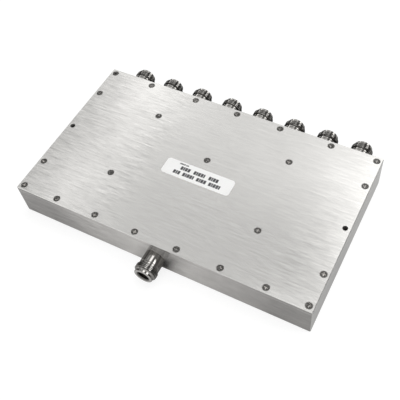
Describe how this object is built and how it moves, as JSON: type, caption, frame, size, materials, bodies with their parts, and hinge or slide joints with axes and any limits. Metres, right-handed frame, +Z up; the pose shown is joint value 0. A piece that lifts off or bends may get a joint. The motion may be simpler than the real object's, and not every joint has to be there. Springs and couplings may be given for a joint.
{
  "type": "rf power splitter",
  "caption": "Flat milled metal box that divides one coaxial input on its front side among a row of coaxial outputs on its back side.",
  "frame": {"origin": "on the underside, below the middle of the housing", "axes": "+X along the long side, +Y out of the side with the output jacks, +Z up out of the cover"},
  "size_m": [0.222, 0.16, 0.0277],
  "materials": {
    "housing_aluminium": "milled, fine brushed grain along the long side",
    "cover_aluminium": "machined flat, brushed grain along the long side",
    "screw_steel": "dark, slightly oily steel",
    "label_film": "satin white film",
    "circuit_laminate": "matt glass and fluoropolymer laminate",
    "circuit_copper": "etched copper, lightly tarnished",
    "resistor_ceramic": "dark glazed ceramic chip with tinned ends",
    "jack_plating": "turned brass, bright nickel plated",
    "insulator_white": "turned PTFE",
    "contact_plating": "spring bronze, thin gold plate"
  },
  "bodies": {
    "root": {"board_screws": "screw_steel", "cover": "cover_aluminium", "cover_screws": "screw_steel", "divider_board": "circuit_laminate", "divider_traces": "circuit_copper", "housing": "housing_aluminium", "input_jack_body": "jack_plating", "input_jack_contact": "contact_plating", "input_jack_insulator": "insulator_white", "isolation_resistor_01": "resistor_ceramic", "isolation_resistor_02": "resistor_ceramic", "isolation_resistor_03": "resistor_ceramic", "isolation_resistor_04": "resistor_ceramic", "isolation_resistor_05": "resistor_ceramic", "isolation_resistor_06": "resistor_ceramic", "isolation_resistor_07": "resistor_ceramic", "isolation_resistor_08": "resistor_ceramic", "isolation_resistor_09": "resistor_ceramic", "isolation_resistor_10": "resistor_ceramic", "isolation_resistor_11": "resistor_ceramic", "isolation_resistor_12": "resistor_ceramic", "isolation_resistor_13": "resistor_ceramic", "isolation_resistor_14": "resistor_ceramic", "isolation_resistor_15": "resistor_ceramic", "isolation_resistor_16": "resistor_ceramic", "isolation_resistor_17": "resistor_ceramic", "isolation_resistor_18": "resistor_ceramic", "isolation_resistor_19": "resistor_ceramic", "isolation_resistor_20": "resistor_ceramic", "isolation_resistor_21": "resistor_ceramic", "label": "label_film", "output_jack_1_body": "jack_plating", "output_jack_1_contact": "contact_plating", "output_jack_1_insulator": "insulator_white", "output_jack_2_body": "jack_plating", "output_jack_2_contact": "contact_plating", "output_jack_2_insulator": "insulator_white", "output_jack_3_body": "jack_plating", "output_jack_3_contact": "contact_plating", "output_jack_3_insulator": "insulator_white", "output_jack_4_body": "jack_plating", "output_jack_4_contact": "contact_plating", "output_jack_4_insulator": "insulator_white", "output_jack_5_body": "jack_plating", "output_jack_5_contact": "contact_plating", "output_jack_5_insulator": "insulator_white", "output_jack_6_body": "jack_plating", "output_jack_6_contact": "contact_plating", "output_jack_6_insulator": "insulator_white", "output_jack_7_body": "jack_plating", "output_jack_7_contact": "contact_plating", "output_jack_7_insulator": "insulator_white", "output_jack_8_body": "jack_plating", "output_jack_8_contact": "contact_plating", "output_jack_8_insulator": "insulator_white"}
  },
  "joints": []
}
